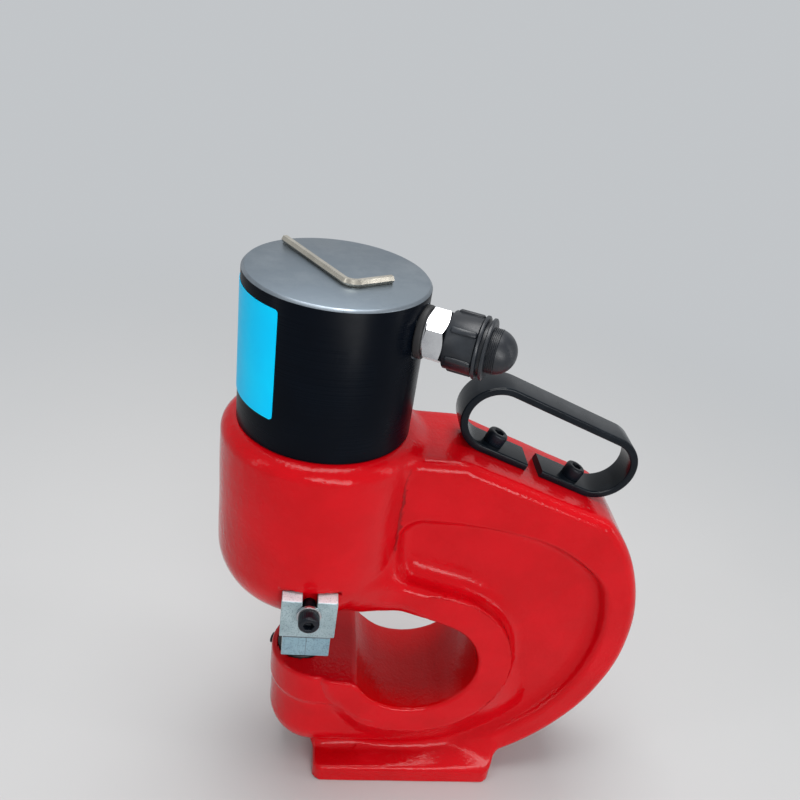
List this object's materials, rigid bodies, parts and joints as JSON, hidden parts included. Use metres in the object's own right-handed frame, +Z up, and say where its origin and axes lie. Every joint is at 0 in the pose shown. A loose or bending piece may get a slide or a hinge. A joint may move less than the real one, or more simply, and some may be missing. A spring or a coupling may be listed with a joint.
{
  "type": "hydraulic hole punch",
  "caption": "C-frame hydraulic hole punch: a spring-return cylinder on a cast frame drives a round punch into a die, with stripper blocks, oil coupler and strap handle.",
  "frame": {"origin": "centre of the foot's underside, on the surface that the punch stands on", "axes": "+Z up along the punch axis, +X from the punching head to the closed back of the C, +Y across the frame"},
  "size_m": [0.2925, 0.1556, 0.3941],
  "materials": {
    "red_paint": "glossy red paint on a cast surface",
    "black_oxide": "turned steel, black oxide",
    "black_steel": "hardened tool steel, black oxide",
    "black_screw": "black oxide screws",
    "black_strap": "satin black powder coat on bent strap",
    "black_plastic": "moulded black plastic",
    "blue_label": "plain blue sticker, blank",
    "zinc_plate": "matt zinc plated steel",
    "nickel_plate": "bright plated steel",
    "key_plate": "nickel plated steel",
    "seal_rubber": "black nitrile rubber",
    "wear_plastic": "brown wear ring",
    "bronze": "bearing bronze",
    "machined_steel": "machined steel",
    "ground_steel": "ground bright steel",
    "spring_steel": "spring steel",
    "tool_steel": "hardened punch steel"
  },
  "bodies": {
    "frame": {"c_frame": "red_paint", "cylinder": "black_oxide", "cylinder_o_ring": "seal_rubber", "label": "blue_label", "guide_bush": "bronze", "wiper_ring": "seal_rubber", "spring_seat": "machined_steel", "return_spring": "spring_steel", "die": "black_steel", "die_set_screw": "black_screw", "stripper_screws": "black_screw", "stripper_washers": "spring_steel", "handle": "black_strap", "handle_screws": "black_screw", "port_seal": "seal_rubber", "coupler_body": "nickel_plate", "coupler_ball": "ground_steel", "coupler_spring": "spring_steel", "coupler_retainer": "machined_steel"},
    "ram": {"ram": "ground_steel", "piston": "machined_steel", "piston_seal": "seal_rubber", "piston_wear_ring": "wear_plastic", "piston_screw": "black_screw", "punch": "tool_steel", "punch_nut": "black_steel"},
    "stripper_front": {"stripper_front": "zinc_plate"},
    "stripper_rear": {"stripper_rear": "zinc_plate"},
    "dust_cap": {"dust_cap": "black_plastic"},
    "hex_key": {"hex_key": "key_plate"}
  },
  "joints": [
    {"name": "ram_stroke", "type": "slide", "parent": "frame", "child": "ram", "axis": [0, 0, -1], "range_m": [0, 0.025], "stiffness_N_per_m": 6000, "springref_m": -0.03, "deforming": ["return_spring"]},
    {"name": "stripper_front_slide", "type": "slide", "parent": "frame", "child": "stripper_front", "axis": [0, 0, -1], "range_m": [0, 0.005]},
    {"name": "stripper_rear_slide", "type": "slide", "parent": "frame", "child": "stripper_rear", "axis": [0, 0, -1], "range_m": [0, 0.005]},
    {"name": "dust_cap_pull", "type": "slide", "parent": "frame", "child": "dust_cap", "axis": [0.9205, -0.3907, 0], "range_m": [0, 0.036]},
    {"name": "hex_key_lift", "type": "slide", "parent": "frame", "child": "hex_key", "axis": [0, 0, 1], "range_m": [0, 0.05]}
  ]
}
